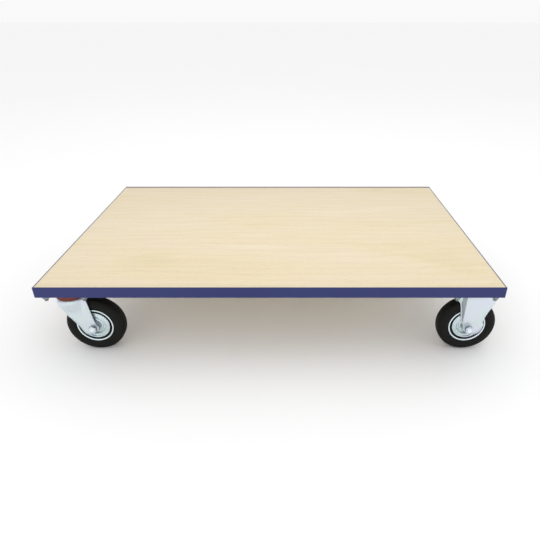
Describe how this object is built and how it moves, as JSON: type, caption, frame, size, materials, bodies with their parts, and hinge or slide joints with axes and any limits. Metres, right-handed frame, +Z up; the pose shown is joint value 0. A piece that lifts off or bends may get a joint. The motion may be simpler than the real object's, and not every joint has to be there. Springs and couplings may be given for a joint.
{
  "type": "platform trolley",
  "caption": "Low flat platform trolley with an angle-steel frame, a wooden deck and solid-tyred steel castors, swivelling at one end and fixed at the other.",
  "frame": {"origin": "on the floor, under the middle of the overall length and width", "axes": "+X along the length towards the fixed castors, -Y the long front side, +Z up"},
  "size_m": [1.219, 0.8, 0.23],
  "materials": {
    "deck_wood": "smooth sealed laminate, satin",
    "blue_paint": "violet-blue powder coat, satin",
    "tyre_rubber": "matte black solid rubber",
    "red_plastic": "red-brown moulded seal",
    "bearing_steel": "ground bearing steel",
    "zinc_steel": "bright zinc plated pressed steel"
  },
  "bodies": {
    "trolley": {"castor_nuts": "zinc_steel", "castor_studs": "zinc_steel", "castor_washers": "zinc_steel", "corner_plates": "blue_paint", "cross_tubes": "blue_paint", "deck_board": "deck_wood", "deck_screws": "zinc_steel", "edge_supports": "blue_paint", "fixed_axle_bolts": "zinc_steel", "fixed_axle_nuts": "zinc_steel", "fixed_axle_sleeves": "bearing_steel", "fixed_fork_front": "zinc_steel", "fixed_fork_rear": "zinc_steel", "fixed_plates": "zinc_steel", "kingpin_front": "zinc_steel", "kingpin_rear": "zinc_steel", "lower_race_front": "bearing_steel", "lower_race_rear": "bearing_steel", "rail_front": "blue_paint", "rail_left": "blue_paint", "rail_rear": "blue_paint", "rail_right": "blue_paint", "swivel_plate_front": "zinc_steel", "swivel_plate_rear": "zinc_steel"},
    "swivel_front": {"dust_ring_front": "red_plastic", "lower_balls_front": "bearing_steel", "swivel_axle_bolt_front": "zinc_steel", "swivel_axle_nut_front": "zinc_steel", "swivel_axle_sleeve_front": "bearing_steel", "swivel_fork_front": "zinc_steel", "upper_balls_front": "bearing_steel"},
    "wheel_swivel_front": {"hub_tube_swivel_front": "bearing_steel", "rim_inner_swivel_front": "zinc_steel", "rim_outer_swivel_front": "zinc_steel", "roller_bearing_swivel_front": "bearing_steel", "tyre_swivel_front": "tyre_rubber"},
    "wheel_fixed_front": {"hub_tube_fixed_front": "bearing_steel", "rim_inner_fixed_front": "zinc_steel", "rim_outer_fixed_front": "zinc_steel", "roller_bearing_fixed_front": "bearing_steel", "tyre_fixed_front": "tyre_rubber"},
    "swivel_rear": {"dust_ring_rear": "red_plastic", "lower_balls_rear": "bearing_steel", "swivel_axle_bolt_rear": "zinc_steel", "swivel_axle_nut_rear": "zinc_steel", "swivel_axle_sleeve_rear": "bearing_steel", "swivel_fork_rear": "zinc_steel", "upper_balls_rear": "bearing_steel"},
    "wheel_swivel_rear": {"hub_tube_swivel_rear": "bearing_steel", "rim_inner_swivel_rear": "zinc_steel", "rim_outer_swivel_rear": "zinc_steel", "roller_bearing_swivel_rear": "bearing_steel", "tyre_swivel_rear": "tyre_rubber"},
    "wheel_fixed_rear": {"hub_tube_fixed_rear": "bearing_steel", "rim_inner_fixed_rear": "zinc_steel", "rim_outer_fixed_rear": "zinc_steel", "roller_bearing_fixed_rear": "bearing_steel", "tyre_fixed_rear": "tyre_rubber"}
  },
  "joints": [
    {"name": "swivel_turn_front", "type": "hinge", "parent": "trolley", "child": "swivel_front", "pos_m": [-0.5465, -0.332, 0.17], "axis": [0, 0, 1], "continuous": true},
    {"name": "wheel_swivel_front_spin", "type": "hinge", "parent": "swivel_front", "child": "wheel_swivel_front", "pos_m": [-0.4965, -0.332, 0.08], "axis": [0, 1, 0], "continuous": true},
    {"name": "wheel_fixed_front_spin", "type": "hinge", "parent": "trolley", "child": "wheel_fixed_front", "pos_m": [0.5295, -0.332, 0.08], "axis": [0, 1, 0], "continuous": true},
    {"name": "swivel_turn_rear", "type": "hinge", "parent": "trolley", "child": "swivel_rear", "pos_m": [-0.5465, 0.332, 0.17], "axis": [0, 0, 1], "continuous": true},
    {"name": "wheel_swivel_rear_spin", "type": "hinge", "parent": "swivel_rear", "child": "wheel_swivel_rear", "pos_m": [-0.4965, 0.332, 0.08], "axis": [0, 1, 0], "continuous": true},
    {"name": "wheel_fixed_rear_spin", "type": "hinge", "parent": "trolley", "child": "wheel_fixed_rear", "pos_m": [0.5295, 0.332, 0.08], "axis": [0, 1, 0], "continuous": true}
  ]
}
